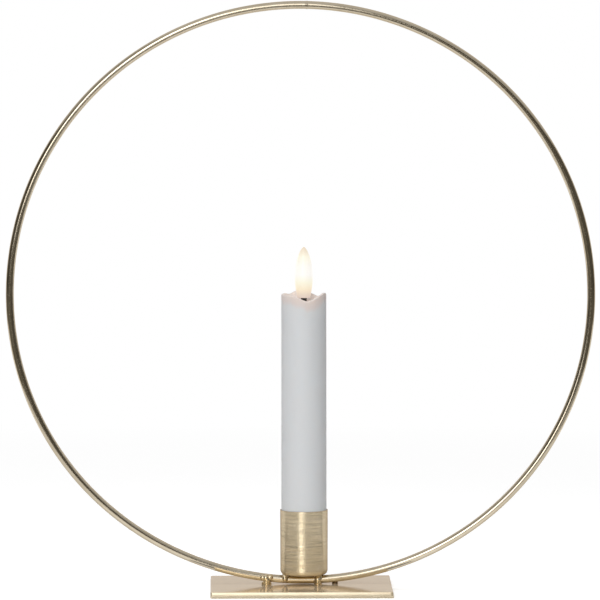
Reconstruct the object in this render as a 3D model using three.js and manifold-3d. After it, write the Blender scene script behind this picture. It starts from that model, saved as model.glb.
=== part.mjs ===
// Ring candle holder: a wire ring on a plate, with a welded cup that holds a battery taper candle.
// Millimetres, +Z up. The origin is the middle of the plate's underside, and -Y faces the viewer.
import * as THREE from "three";
import { mergeVertices } from "three/addons/utils/BufferGeometryUtils.js";
import Module from "manifold-3d";

// Clearances
const weldGap = 0.3; // between a weld bead and what it joins, and under the cup
const seatGap = 0.1; // between stacked pieces, and under the ring
const sideGap = 0.3; // between a piece and the bore around it
const slideGap = 0.3; // around pieces that move
const candleFit = 0.12; // between the wax and the cup's bore, at the bottom

// Plate and ring
const plateWidth = 89.6;
const plateDepth = 70;
const plateThickness = 3;
const plateCornerRadius = 2;
const plateEdgeRounding = 0.5;
const ringDiameter = 288.7; // outside, on average
// The ring is a little out of round: lobes, their height and the place of one, in degrees from the
// top towards the right
const ringLobes = [
  { count: 2, height: 0.67, angle: 100 },
  { count: 3, height: 0.24, angle: 11 },
  { count: 4, height: 0.13, angle: 56 },
];
const wireDiameter = 3.9;
const seamOffset = 2.9; // the butt weld lies this far right of the ring's top
const seamLength = 1.2;
const seamBulge = 0.2;

// Cup
const cupOffset = 1.4; // the cup's axis lies this far right of the ring's middle
const cupHeight = 32.3;
const cupWall = 0.4;
const cupDraft = 0.08; // the bore's radius grows by this much at the rim
const cupCornerRadius = 2.6;

// Weld beads: place along the ring, towards the viewer, above the wire's axis, and full sizes
const weldBeads = [
  { name: "ring_weld_left", along: -17.1, front: 2.1, lift: -1.2, length: 6.2, depth: 4.8, height: 5.2 },
  { name: "ring_weld_right", along: 16.7, front: -2.1, lift: -1, length: 4, depth: 4.4, height: 4.4 },
  { name: "cup_weld_left", along: -8, front: 1.8, lift: 1, length: 3.8, depth: 3.8, height: 4 },
  { name: "cup_weld_right", along: 8.2, front: 1.9, lift: -0.1, length: 4.4, depth: 4.2, height: 5.2 },
];

// Battery tube and wax
const batteryDiameter = 14.5;
const batteryLength = 50.5; // with its nub
const batteryEdgeRounding = 0.5;
const nubDiameter = 5.5;
const nubHeight = 1.4;
const batteryClearance = 0.75; // room for the strip beside the cells
const coreWall = 1.3;
const waxGap = 0.3;
const waxWall = 1.55; // at the bottom
const waxDraft = 0.1; // the candle's radius shrinks by this much at its rim
const waxCrown = 6; // wax between the plug and the crater's floor
const craterDepth = 4.6; // below the rim's level
const craterFloorRadius = 3.4;
const rimThickness = 1.3;
const rimRounding = 0.7;
// The rim's dips and peaks: compass angle in degrees, height and half width in degrees
const rimBumps = [
  { angle: -81, height: -2.9, spread: 26 },
  { angle: -20, height: 0.8, spread: 18 },
  { angle: 48, height: -1.6, spread: 17 },
  { angle: 108, height: 0.9, spread: 12 },
  { angle: 134, height: -0.5, spread: 12 },
];

// Flame lens, stem and lamp
const flameWidth = 8.8;
const flameHeight = 25;
const flameWidestHeight = 9.8; // above the lens's base
const flameBaseWidth = 6.2;
const flameTipPower = 0.655; // below 1, blunter as it falls
const flameTaperPower = 1.8; // how late the lower part draws in
const lensWall = 0.9;
const lensLift = 2.7; // the lens's base above the crater's floor
const stemWall = 0.5;
const stemEntry = 1; // how far the stem reaches into the lens
const leadDiameter = 0.5;
const leadSpacing = 1.1;
const lampDiameter = 3;
const lampHeight = 4.6;
const lampFlange = 0.3;
const lampFlangeHeight = 0.8;

// Board and contacts
const boardThickness = 1.2;
const componentRoom = 3.2; // between the board and the plug
const plugSpigotHeight = 3;
const plugFlangeHeight = 2;
const plusContactDiameter = 7;
const plusContactThickness = 0.4;
const chipDiameter = 4.2;
const chipHeight = 1.2;
const chipOffset = 4;
const resistorSize = { x: 1.2, y: 2, z: 0.55 };
const resistorOffset = 3.6;
const stripWidth = 2.4;
const stripThickness = 0.3;
const stripClearance = 0.2; // between the strip and the cells

// Battery cap
const capFlangeHeight = 3;
const capChamfer = 2.2;
const capInset = 0.4; // the flange's edge lies this far inside the wax
const spigotHeight = 6;
const spigotClearance = 0.5;
const spigotWall = 1.3;
const lugReach = 1;
const lugWidth = 2.4;
const lugHeight = 1.6;
const lugLift = 2; // the lug's underside above the flange
const bayonetTurn = 40; // degrees
const coinSlotLength = 15;
const coinSlotWidth = 1.6;
const coinSlotDepth = 1.1;
const insertThickness = 0.8;
const contactThickness = 0.3;
const ringContactLap = 0.6; // the ring contact reaches this far inside its pin
const contactGap = 0.8; // between the two contacts

// Spring
const springHeight = 6;
const springWire = 0.7;
const springTopDiameter = 5;
const springTurns = 4;

// Switch
const switchTravel = 2; // each way from the middle position
const switchWidth = 3.6;
const switchHeight = 3.4;
const pinWidth = 0.7;
const pinThickness = 0.4;
const pinInset = 0.8; // from the spigot's bore, and from the spring contact's edge
const knobLength = 3;
const knobWidth = 3.2;
const knobThickness = 1;
const knobSink = 0.3; // below the cap's underside
const neckLength = 1.8;
const neckWidth = 1.4;
const neckEntry = 0.8; // how far the neck reaches into the switch

// Facets
const roundSides = 40;
const smallSides = 16;
const wireSteps = 90;
const wireSides = 10;
const cornerSteps = 4;
const flameSteps = 9;
const waxWallSteps = 3;
const curlSteps = 8;
const curlSides = 5;

// Heights on the holder
const wireRadius = wireDiameter / 2;
const ringRadius = ringDiameter / 2 - wireRadius; // of the wire's axis, on average

// The wire axis's distance from the ring's middle, at an angle from the top towards the right.
function ringReach(angle) {
  const lobes = ringLobes.map(({ count, height, angle: place }) => {
    return height * Math.cos(count * (angle - THREE.MathUtils.degToRad(place)));
  });
  return lobes.reduce((sum, lobe) => sum + lobe, ringRadius);
}

const ringCentreHeight = plateThickness + seatGap + wireRadius + ringReach(Math.PI);

// Height of the ring's lower curve at a distance right of its middle, inset from the wire's axis.
function lowerCurve(distance, inset = 0) {
  const turn = Math.asin(distance / ringRadius);
  return ringCentreHeight - (ringReach(Math.PI - turn) - inset) * Math.cos(turn);
}

// Radii, from the cells outwards
const batteryRadius = batteryDiameter / 2;
const coreBoreRadius = batteryRadius + batteryClearance;
const coreRadius = coreBoreRadius + coreWall;
const waxBoreRadius = coreRadius + waxGap;
const waxRadius = waxBoreRadius + waxWall;
const rimRadius = waxRadius - waxDraft;
const cupBoreRadius = waxRadius + candleFit;
const cupBaseRadius = cupBoreRadius + cupWall;
const boardRadius = coreBoreRadius - sideGap;
const stemBoreRadius = (leadSpacing + leadDiameter) / 2 + sideGap / 2;
const stemRadius = stemBoreRadius + stemWall;
const stemHoleRadius = stemRadius + sideGap;
const spigotRadius = coreBoreRadius - spigotClearance;
const spigotBoreRadius = spigotRadius - spigotWall;
const ringPinPlace = spigotBoreRadius - pinInset;
const ringContactBore = ringPinPlace - ringContactLap;
const springContactRadius = ringContactBore - contactGap;
const springPinPlace = pinInset - springContactRadius;
const springBaseRadius = springContactRadius - springWire / 2;

// The cup's flat bottom sits on the ring's inner curve, where the wire meets the flat's two edges
const cupFlatRadius = cupBaseRadius - cupCornerRadius;
const cupSeats = [cupOffset - cupFlatRadius, cupOffset + cupFlatRadius];
const cupBottom = weldGap + Math.max(...cupSeats.map((edge) => lowerCurve(edge, wireRadius)));
const candleBottom = cupBottom + cupWall + seatGap;

// Heights in the candle, from its underside upwards
const spigotTop = capFlangeHeight + spigotHeight;
const insertBottom = spigotTop + seatGap;
const contactBottom = insertBottom + insertThickness + seatGap;
const contactTop = contactBottom + contactThickness;
const springBottom = contactTop + seatGap;
const lowerCellBottom = springBottom + springHeight + seatGap;
const upperCellBottom = lowerCellBottom + batteryLength + seatGap;
const plusContactBottom = upperCellBottom + batteryLength + seatGap;
const boardBottom = plusContactBottom + plusContactThickness + seatGap;
const boardTop = boardBottom + boardThickness;
const plugBottom = boardTop + componentRoom;
const coreTop = plugBottom + plugSpigotHeight;
const plugFlangeBottom = coreTop + seatGap;
const crownBottom = plugFlangeBottom + plugFlangeHeight + seatGap;
const craterFloor = crownBottom + waxCrown;
const rimHeight = craterFloor + craterDepth;
const lensBottom = craterFloor + lensLift;
const stemTop = lensBottom + stemEntry;
const lampBottom = stemTop + seatGap;
const sleeveBottom = capFlangeHeight + slideGap;

const wasm = await Module();
wasm.setup();

// A closed geometry as a solid that can be joined and cut.
function solidOf(geometry) {
  const bare = geometry.clone();
  bare.deleteAttribute("normal");
  bare.deleteAttribute("uv");
  const merged = mergeVertices(bare);
  const triVerts = new Uint32Array(merged.index.array);
  const vertProperties = merged.attributes.position.array;
  return new wasm.Manifold(new wasm.Mesh({ numProp: 3, vertProperties, triVerts }));
}

function geometryOf(solid) {
  const mesh = solid.getMesh();
  const geometry = new THREE.BufferGeometry();
  geometry.setAttribute("position", new THREE.BufferAttribute(mesh.vertProperties, 3));
  geometry.setIndex(new THREE.BufferAttribute(mesh.triVerts, 1));
  geometry.computeVertexNormals();
  return geometry;
}

function cut(geometry, ...tools) {
  return geometryOf(tools.reduce((solid, tool) => solid.subtract(solidOf(tool)), solidOf(geometry)));
}

function join(geometry, ...others) {
  return geometryOf(others.reduce((solid, other) => solid.add(solidOf(other)), solidOf(geometry)));
}

// Turns a profile of [radius, height] points about the Z axis. The profile runs anticlockwise
// with the radius to the right and the height upwards.
function turned(profile, sides = roundSides) {
  const points = profile.map(([radius, height]) => new THREE.Vector2(radius, height));
  return new THREE.LatheGeometry(points, sides).rotateX(Math.PI / 2);
}

// A ring of rectangular section.
function turnedRing(innerRadius, outerRadius, bottom, top, sides = roundSides) {
  const corners = [
    [innerRadius, bottom],
    [outerRadius, bottom],
    [outerRadius, top],
    [innerRadius, top],
    [innerRadius, bottom],
  ];
  return turned(corners, sides);
}

function turnedDisc(radius, bottom, top, sides = roundSides) {
  return turned([[0, bottom], [radius, bottom], [radius, top], [0, top]], sides);
}

// Points of an arc in a profile, angles in degrees.
function arc(radius, height, size, from, to, steps = cornerSteps) {
  return Array.from({ length: steps + 1 }, (_, step) => {
    const angle = THREE.MathUtils.degToRad(from + ((to - from) * step) / steps);
    return [radius + size * Math.cos(angle), height + size * Math.sin(angle)];
  });
}

// A box from its sizes and the middle of its underside.
function block(sizeX, sizeY, sizeZ, x, y, bottom) {
  return new THREE.BoxGeometry(sizeX, sizeY, sizeZ).translate(x, y, bottom + sizeZ / 2);
}

function circleShape(radius, sides) {
  const points = Array.from({ length: sides }, (_, side) => {
    const angle = (2 * Math.PI * side) / sides;
    return new THREE.Vector2(radius * Math.cos(angle), radius * Math.sin(angle));
  });
  return new THREE.Shape(points);
}

function tube(path, radius, steps, sides) {
  return new THREE.ExtrudeGeometry(circleShape(radius, sides), { extrudePath: path, steps });
}

// The wire's axis: an arc of the ring between two angles, counted from the top towards the right.
class RingPath extends THREE.Curve {
  constructor(from, to) {
    super();
    this.from = from;
    this.to = to;
  }

  getPoint(share, target = new THREE.Vector3()) {
    const angle = THREE.MathUtils.lerp(this.from, this.to, share);
    const reach = ringReach(angle);
    return target.set(reach * Math.sin(angle), 0, ringCentreHeight + reach * Math.cos(angle));
  }
}

// A conical spring's axis, from its wide base to its narrow top.
class SpringPath extends THREE.Curve {
  getPoint(share, target = new THREE.Vector3()) {
    const angle = 2 * Math.PI * springTurns * share;
    const radius = THREE.MathUtils.lerp(springBaseRadius, springTopDiameter / 2, share);
    const height = springBottom + springWire / 2 + (springHeight - springWire) * share;
    return target.set(radius * Math.cos(angle), radius * Math.sin(angle), height);
  }
}

const seamAngle = seamOffset / ringRadius;

function ringWire() {
  const halfGap = (seamLength / 2 + weldGap) / ringRadius;
  const path = new RingPath(seamAngle + halfGap, seamAngle + 2 * Math.PI - halfGap);
  return tube(path, wireRadius, wireSteps, wireSides);
}

// The butt weld's bead, with its axis along the wire.
function ringSeam() {
  const half = seamLength / 2;
  const profile = [
    [0, -half],
    [wireRadius, -half],
    [wireRadius + seamBulge, 0],
    [wireRadius, half],
    [0, half],
  ];
  const top = new RingPath(seamAngle, seamAngle).getPoint(0);
  return turned(profile, smallSides).rotateY(Math.PI / 2 + seamAngle).translate(top.x, top.y, top.z);
}

function basePlate() {
  const x = plateWidth / 2 - plateEdgeRounding;
  const y = plateDepth / 2 - plateEdgeRounding;
  const radius = plateCornerRadius - plateEdgeRounding;
  const outline = new THREE.Shape();
  outline.absarc(x - radius, y - radius, radius, 0, Math.PI / 2);
  outline.absarc(-x + radius, y - radius, radius, Math.PI / 2, Math.PI);
  outline.absarc(-x + radius, -y + radius, radius, Math.PI, Math.PI * 1.5);
  outline.absarc(x - radius, -y + radius, radius, Math.PI * 1.5, Math.PI * 2);
  const plate = new THREE.ExtrudeGeometry(outline, {
    depth: plateThickness - 2 * plateEdgeRounding,
    curveSegments: cornerSteps,
    bevelThickness: plateEdgeRounding,
    bevelSize: plateEdgeRounding,
    bevelSegments: 2,
  });
  return plate.translate(0, 0, plateEdgeRounding);
}

// The cup's outside from its bottom middle to its rim, grown by an allowance.
function cupOutside(grow) {
  const radius = cupBaseRadius + grow;
  const corner = cupCornerRadius + grow;
  return [
    [0, -grow],
    ...arc(radius - corner, cupCornerRadius, corner, -90, 0),
    [radius + cupDraft, cupHeight],
  ];
}

function candleCup() {
  const corner = cupCornerRadius - cupWall;
  const bore = [
    [cupBoreRadius + cupDraft, cupHeight],
    ...arc(cupBoreRadius - corner, cupCornerRadius, corner, 0, -90),
    [0, cupWall],
  ];
  return turned([...cupOutside(0), ...bore]);
}

function cupEnvelope() {
  return turned([...cupOutside(weldGap), [0, cupHeight]]).translate(cupOffset, 0, cupBottom);
}

// A weld bead: an ellipsoid cut clear of the wire, the plate and the cup.
function weldBead({ along, front, lift, length, depth, height }) {
  const bead = new THREE.SphereGeometry(0.5, smallSides, smallSides / 2);
  bead.scale(length, depth, height).translate(along, -front, lowerCurve(along) + lift);
  const reach = (Math.abs(along) + length) / ringRadius;
  const path = new RingPath(Math.PI - reach, Math.PI + reach);
  const wire = tube(path, wireRadius + weldGap, smallSides, smallSides);
  const plate = block(plateWidth, plateDepth, plateThickness, 0, 0, weldGap);
  return cut(bead, wire, plate, cupEnvelope());
}

function rimAt(angle) {
  const bumps = rimBumps.map(({ angle: middle, height, spread }) => {
    const turn = THREE.MathUtils.euclideanModulo(angle - middle + 180, 360) - 180;
    return height * Math.exp(-((turn / spread) ** 2));
  });
  return bumps.reduce((sum, bump) => sum + bump, rimHeight);
}

// The wax's section at one compass angle: wall, rounded rim, crater, stem hole and bore.
function waxSection(angle) {
  const rim = rimAt(angle);
  const shoulder = rim - rimRounding;
  const wall = Array.from({ length: waxWallSteps }, (_, step) => {
    const share = step / (waxWallSteps - 1);
    const height = THREE.MathUtils.lerp(sleeveBottom, crownBottom, share);
    return [THREE.MathUtils.lerp(waxRadius, rimRadius, share), height];
  });
  const rimInside = rimRadius - rimThickness;
  const slope = (rimInside - craterFloorRadius) / 2;
  return [
    ...wall,
    ...arc(rimRadius - rimRounding, shoulder, rimRounding, 0, 90, 3),
    [rimInside, THREE.MathUtils.lerp(craterFloor, rim, 0.75)],
    [craterFloorRadius + slope, THREE.MathUtils.lerp(craterFloor, rim, 0.3)],
    [craterFloorRadius, craterFloor],
    [stemHoleRadius, craterFloor],
    [stemHoleRadius, crownBottom],
    [waxBoreRadius, crownBottom],
    [waxBoreRadius, sleeveBottom],
  ];
}

// Joins sections at even compass angles into one closed skin.
function waxShell() {
  const sections = Array.from({ length: roundSides }, (_, side) => waxSection((360 * side) / roundSides));
  const count = sections[0].length;
  const positions = sections.flatMap((section, side) => {
    const turn = (2 * Math.PI * side) / roundSides;
    return section.flatMap(([radius, height]) => [radius * Math.cos(turn), radius * Math.sin(turn), height]);
  });
  const indices = sections.flatMap((section, side) => {
    const here = side * count;
    const next = ((side + 1) % roundSides) * count;
    return section.flatMap((_, point) => {
      const after = (point + 1) % count;
      return [here + point, next + point, next + after, here + point, next + after, here + after];
    });
  });
  const shell = new THREE.BufferGeometry();
  shell.setAttribute("position", new THREE.Float32BufferAttribute(positions, 3));
  shell.setIndex(indices);
  shell.computeVertexNormals();
  return shell;
}

// Half the flame's width, from its base (0) over its widest place to its tip, shrunk by an inset.
function flameOutline(inset) {
  const widest = flameWidth / 2 - inset;
  const base = flameBaseWidth / 2 - inset;
  const tipLength = flameHeight - flameWidestHeight - 2 * inset;
  const lower = Array.from({ length: flameSteps }, (_, step) => {
    const down = 1 - step / flameSteps;
    const radius = widest - (widest - base) * down ** flameTaperPower;
    return [radius, lensBottom + inset + (flameWidestHeight - inset) * (1 - down)];
  });
  const upper = Array.from({ length: flameSteps + 1 }, (_, step) => {
    const up = Math.sin(((step / flameSteps) * Math.PI) / 2);
    const radius = widest * (1 - up ** 2) ** flameTipPower;
    return [radius, lensBottom + flameWidestHeight + tipLength * up];
  });
  return [...lower, ...upper];
}

function flameLens() {
  const outside = flameOutline(0);
  const inside = flameOutline(lensWall).reverse();
  const hole = [[stemHoleRadius, lensBottom + lensWall], [stemHoleRadius, lensBottom]];
  return turned([...outside, ...inside, ...hole, outside[0]], roundSides / 2);
}

function wickStem() {
  return turnedRing(stemBoreRadius, stemRadius, plugBottom, stemTop, smallSides);
}

function ledLamp() {
  const radius = lampDiameter / 2;
  const flangeTop = lampBottom + lampFlangeHeight;
  return turned([
    [0, lampBottom],
    [radius + lampFlange, lampBottom],
    [radius + lampFlange, flangeTop],
    [radius, flangeTop],
    ...arc(0, lampBottom + lampHeight - radius, radius, 0, 90),
  ], smallSides);
}

function ledLead(side) {
  const bottom = boardTop + seatGap;
  const lead = turnedDisc(leadDiameter / 2, bottom, stemTop, smallSides / 2);
  return lead.translate((side * leadSpacing) / 2, 0, 0);
}

function topPlug() {
  const spigot = coreBoreRadius - sideGap;
  const flangeTop = plugFlangeBottom + plugFlangeHeight;
  return turned([
    [stemHoleRadius, plugBottom],
    [spigot, plugBottom],
    [spigot, plugFlangeBottom],
    [coreRadius, plugFlangeBottom],
    [coreRadius, flangeTop],
    [stemHoleRadius, flangeTop],
    [stemHoleRadius, plugBottom],
  ]);
}

function driverBoard() {
  return turnedDisc(boardRadius, boardBottom, boardTop);
}

function timerChip() {
  const bottom = boardTop + seatGap;
  const dome = Array.from({ length: cornerSteps + 1 }, (_, step) => {
    const angle = ((step / cornerSteps) * Math.PI) / 2;
    return [(chipDiameter / 2) * Math.cos(angle), bottom + chipHeight * Math.sin(angle)];
  });
  return turned([[0, bottom], ...dome], smallSides).translate(-chipOffset, 0, 0);
}

function seriesResistor() {
  return block(resistorSize.x, resistorSize.y, resistorSize.z, resistorOffset, 0, boardTop + seatGap);
}

function plusContact() {
  const top = plusContactBottom + plusContactThickness;
  return turnedDisc(plusContactDiameter / 2, plusContactBottom, top, smallSides);
}

function minusStrip() {
  const bottom = contactTop + seatGap;
  const height = boardBottom - seatGap - bottom;
  const x = batteryRadius + stripClearance + stripThickness / 2;
  return block(stripThickness, stripWidth, height, x, 0, bottom);
}

function batteryCell(bottom) {
  const shoulder = bottom + batteryLength - nubHeight;
  const edge = batteryRadius - batteryEdgeRounding;
  const nub = nubDiameter / 2;
  return turned([
    [0, bottom],
    ...arc(edge, bottom + batteryEdgeRounding, batteryEdgeRounding, -90, 0, 2),
    ...arc(edge, shoulder - batteryEdgeRounding, batteryEdgeRounding, 0, 90, 2),
    [nub, shoulder],
    [nub, bottom + batteryLength],
    [0, bottom + batteryLength],
  ], roundSides / 2);
}

// A sector of a ring between two angles in degrees, standing from bottom to top.
function ringSector(innerRadius, outerRadius, from, to, bottom, top) {
  const start = THREE.MathUtils.degToRad(from);
  const end = THREE.MathUtils.degToRad(to);
  const outline = new THREE.Shape();
  outline.absarc(0, 0, outerRadius, start, end, false);
  outline.absarc(0, 0, innerRadius, end, start, true);
  const options = { depth: top - bottom, bevelEnabled: false, curveSegments: cornerSteps };
  return new THREE.ExtrudeGeometry(outline, options).translate(0, 0, bottom);
}

// One bayonet slot: an entry from the tube's lower end and a run to the locked place.
function bayonetSlot(middle) {
  const bottom = capFlangeHeight + lugLift - slideGap;
  const top = capFlangeHeight + lugLift + lugHeight + slideGap;
  const half = THREE.MathUtils.radToDeg(Math.asin((lugWidth / 2 + slideGap) / coreBoreRadius));
  const inner = coreBoreRadius - sideGap;
  const outer = coreRadius + sideGap;
  const unlocked = middle - bayonetTurn;
  const run = ringSector(inner, outer, unlocked - half, middle + half, bottom, top);
  const entry = ringSector(inner, outer, unlocked - half, unlocked + half, capFlangeHeight, top);
  return join(run, entry);
}

function coreTube() {
  const wall = turnedRing(coreBoreRadius, coreRadius, sleeveBottom, coreTop);
  return cut(wall, bayonetSlot(0), bayonetSlot(180));
}

function bayonetLugs() {
  const reach = coreBoreRadius + lugReach - spigotBoreRadius;
  const x = spigotBoreRadius + reach / 2;
  const bottom = capFlangeHeight + lugLift;
  return [x, -x].map((side) => block(reach, lugWidth, lugHeight, side, 0, bottom));
}

const recessDepth = knobSink + knobThickness + slideGap;

function batteryCap() {
  const radius = waxRadius - capInset;
  const body = turned([
    [0, 0],
    [radius - capChamfer, 0],
    [radius, capChamfer],
    [radius, capFlangeHeight],
    [spigotRadius, capFlangeHeight],
    [spigotRadius, spigotTop],
    [spigotBoreRadius, spigotTop],
    [spigotBoreRadius, capFlangeHeight],
    [0, capFlangeHeight],
  ]);
  const play = 2 * (switchTravel + slideGap);
  const recess = block(knobLength + play, knobWidth + 2 * slideGap, 2 * recessDepth, 0, 0, -recessDepth);
  const slot = block(neckLength + play, neckWidth + 2 * slideGap, 2 * capFlangeHeight, 0, 0, 0);
  const coinSlot = block(coinSlotWidth, coinSlotLength, 2 * coinSlotDepth, 0, 0, -coinSlotDepth);
  return cut(join(body, ...bayonetLugs()), recess, slot, coinSlot);
}

const switchBottom = capFlangeHeight + seatGap;
const switchTop = switchBottom + switchHeight;

function switchBody() {
  const halfLength = Math.sqrt((spigotBoreRadius - seatGap) ** 2 - (switchWidth / 2) ** 2);
  const body = block(2 * halfLength, switchWidth, switchHeight, 0, 0, switchBottom);
  const groove = neckLength + 2 * (switchTravel + slideGap);
  const depth = neckEntry + slideGap;
  return cut(body, block(groove, neckWidth + 2 * slideGap, 2 * depth, 0, 0, switchBottom - depth));
}

function switchKnob() {
  const grip = block(knobLength, knobWidth, knobThickness, 0, 0, knobSink);
  const neckHeight = switchBottom + neckEntry - knobSink;
  return join(grip, block(neckLength, neckWidth, neckHeight, 0, 0, knobSink));
}

function switchPin(x) {
  const bottom = switchTop + seatGap;
  return block(pinWidth, pinThickness, contactBottom - seatGap - bottom, x, 0, bottom);
}

function capInsert() {
  const disc = turnedDisc(spigotRadius, insertBottom, insertBottom + insertThickness);
  const width = pinWidth + 2 * seatGap;
  const depth = pinThickness + 2 * seatGap;
  const holes = [ringPinPlace, springPinPlace].map((x) => {
    return block(width, depth, 3 * insertThickness, x, 0, insertBottom - insertThickness);
  });
  return cut(disc, ...holes);
}

function springContact() {
  return turnedDisc(springContactRadius, contactBottom, contactTop, smallSides);
}

function ringContact() {
  return turnedRing(ringContactBore, boardRadius, contactBottom, contactTop);
}

// The spring's least gap between one turn and another, measured on points along its axis.
function springSelfGap() {
  const count = springTurns * curlSteps;
  const points = new SpringPath().getPoints(count);
  const gaps = points.flatMap((point, index) => {
    return points.slice(index + curlSteps / 2 + 1).map((other) => point.distanceTo(other) - springWire);
  });
  return Math.min(...gaps);
}

function batterySpring() {
  console.log(`battery_spring least gap ${springSelfGap().toFixed(2)} mm`);
  return tube(new SpringPath(), springWire / 2, springTurns * curlSteps, curlSides);
}

// Materials: colour, roughness, metalness
const finishes = {
  gold: [0xd9bd8b, 0.22, 1],
  wax: [0xd8d9da, 0.55, 0],
  lens: [0xfff1d6, 0.4, 0],
  black: [0x171514, 0.6, 0],
  tube: [0xeceae4, 0.5, 0],
  board: [0x2f6b3c, 0.6, 0],
  metal: [0xc9c7c0, 0.3, 1],
  cell: [0x8b8f94, 0.35, 0.6],
  lamp: [0xfff0c4, 0.15, 0],
};

function piece(name, geometry, finish) {
  const [color, roughness, metalness] = finishes[finish];
  const mesh = new THREE.Mesh(geometry, new THREE.MeshStandardMaterial({ color, roughness, metalness }));
  mesh.name = name;
  return mesh;
}

const cup = piece("candle_cup", candleCup(), "gold");
cup.position.set(cupOffset, 0, cupBottom);

const holder = new THREE.Group();
holder.add(
  piece("base_plate", basePlate(), "gold"),
  piece("ring_wire", ringWire(), "gold"),
  piece("ring_seam", ringSeam(), "gold"),
  cup,
  ...weldBeads.map((bead) => piece(bead.name, weldBead(bead), "gold")),
);

const candle = new THREE.Group();
candle.position.set(cupOffset, 0, candleBottom);
candle.add(
  piece("wax_shell", waxShell(), "wax"),
  piece("flame_lens", flameLens(), "lens"),
  piece("wick_stem", wickStem(), "black"),
  piece("core_tube", coreTube(), "tube"),
  piece("top_plug", topPlug(), "tube"),
  piece("led_lamp", ledLamp(), "lamp"),
  piece("led_lead_plus", ledLead(1), "metal"),
  piece("led_lead_minus", ledLead(-1), "metal"),
  piece("driver_board", driverBoard(), "board"),
  piece("timer_chip", timerChip(), "black"),
  piece("series_resistor", seriesResistor(), "black"),
  piece("plus_contact", plusContact(), "metal"),
  piece("minus_strip", minusStrip(), "metal"),
  piece("battery_lower", batteryCell(lowerCellBottom), "cell"),
  piece("battery_upper", batteryCell(upperCellBottom), "cell"),
);

const cap = new THREE.Group();
cap.add(
  piece("battery_cap", batteryCap(), "tube"),
  piece("cap_insert", capInsert(), "board"),
  piece("spring_contact", springContact(), "metal"),
  piece("ring_contact", ringContact(), "metal"),
  piece("battery_spring", batterySpring(), "metal"),
  piece("switch_body", switchBody(), "metal"),
  piece("switch_pin_spring", switchPin(springPinPlace), "metal"),
  piece("switch_pin_ring", switchPin(ringPinPlace), "metal"),
  piece("switch_knob", switchKnob(), "black"),
);
candle.add(cap);

const ringCandleHolder = new THREE.Group();
ringCandleHolder.add(holder, candle);

export default ringCandleHolder;
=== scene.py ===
import math

import bmesh
import bpy
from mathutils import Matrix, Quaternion, Vector, noise

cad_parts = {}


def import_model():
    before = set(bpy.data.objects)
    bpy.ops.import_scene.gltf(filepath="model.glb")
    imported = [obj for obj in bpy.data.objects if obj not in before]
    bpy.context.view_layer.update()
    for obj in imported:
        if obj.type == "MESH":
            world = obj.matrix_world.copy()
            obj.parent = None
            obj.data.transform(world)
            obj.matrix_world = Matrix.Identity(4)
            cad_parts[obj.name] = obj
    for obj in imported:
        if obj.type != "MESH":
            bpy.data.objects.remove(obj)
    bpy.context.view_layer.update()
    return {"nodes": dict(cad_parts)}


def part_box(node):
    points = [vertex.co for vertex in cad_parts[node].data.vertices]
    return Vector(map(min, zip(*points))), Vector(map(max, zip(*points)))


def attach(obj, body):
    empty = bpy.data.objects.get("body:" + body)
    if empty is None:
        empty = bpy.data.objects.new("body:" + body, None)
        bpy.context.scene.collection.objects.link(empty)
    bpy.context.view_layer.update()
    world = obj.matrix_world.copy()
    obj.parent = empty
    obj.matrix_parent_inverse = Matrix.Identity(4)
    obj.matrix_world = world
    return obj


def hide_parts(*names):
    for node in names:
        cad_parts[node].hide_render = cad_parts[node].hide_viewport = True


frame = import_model()
nodes = frame["nodes"]
MM = 0.001

# Camera: where it stands, seen from the point it aims at
VIEW_AZIMUTH = -0.81
VIEW_ELEVATION = 4.41
VIEW_ROLL = -0.04
VIEW_DISTANCE = 3200
AIM_POINT = (-0.48, 0, 143.4)
FOCAL_PIXELS = 6509
FRAME_PIXELS = 600

# Ring
WIRE_RADIUS = 1.95
RING_RADIUS = 142.4  # of the wire's axis, on average
# The ring is a little out of round: lobes, their height and the place of one, in degrees from the top
RING_LOBES = [(2, 0.67, 100), (3, 0.24, 11), (4, 0.13, 56)]
RING_SEAT = 0.1  # gap between the plate and the wire
WIRE_STEPS = 540
WIRE_SIDES = 28
WIRE_WAVER = 0.025  # how far the wire's skin wavers
WAVER_LENGTH = 6
SEAM_PLACE = 2.9  # along the wire, right of the top
SEAM_LENGTH = 1.3
SEAM_BULGE = 0.15
SEAM_STEPS = 12
SEAM_SINK = 0.03  # how far its ends lie below the wire's skin
SEAM_BORE_RADIUS = 0.8  # of the hole through it, hidden inside the wire
SEAM_GROOVE_WIDTH = 0.3  # of the groove round its middle, as a share of its length
SEAM_GROOVE_HEIGHT = 0.25  # share of the bulge left in the groove

# Plate
PLATE_CORNER = 1.2
PLATE_ROUNDING = 0.35
PLATE_CORNER_STEPS = 8
PLATE_GUARD = 0.3  # from each corner's arc to the points that keep the sides flat
PLATE_ROUNDING_STEPS = 5
PLATE_FLAT_INSET = 0.4
PLATE_SHEAR_HEIGHT = 1.1  # above this the cut edge leans in
PLATE_SHEAR = 0.24  # how far it leans in at the top

# Cup
CUP_WALL = 0.4
CUP_CORNER = 2.6
CUP_DRAFT = 0.08  # its radius grows by this much from the corner to the rim
CUP_SIDES = 128
CUP_CORNER_STEPS = 8
CUP_LIP_STEPS = 6
GROOVE_COUNT = 24
GROOVE_DEPTH = 0.025
GROOVE_HALF_WIDTH = 0.16
GROOVE_LOWEST = 4
GROOVE_HIGHEST = 30.5
GROOVE_SHALLOWEST = 0.35  # share of the full depth
GROOVE_SHIFT = 0.4  # how far a groove moves from its even place, as a share of the pitch
GROOVE_PLACE_NOISE = (7.3, 1.7)  # step per groove and row, where the noise is read
GROOVE_DEPTH_NOISE = (3.1, 8.2)
BRUSH_TILT = 0.6  # slope of the finest brushing
MARK_TILT = 0.14  # slope of the coarser turning marks
CUP_METALLIC = 0.75

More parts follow.
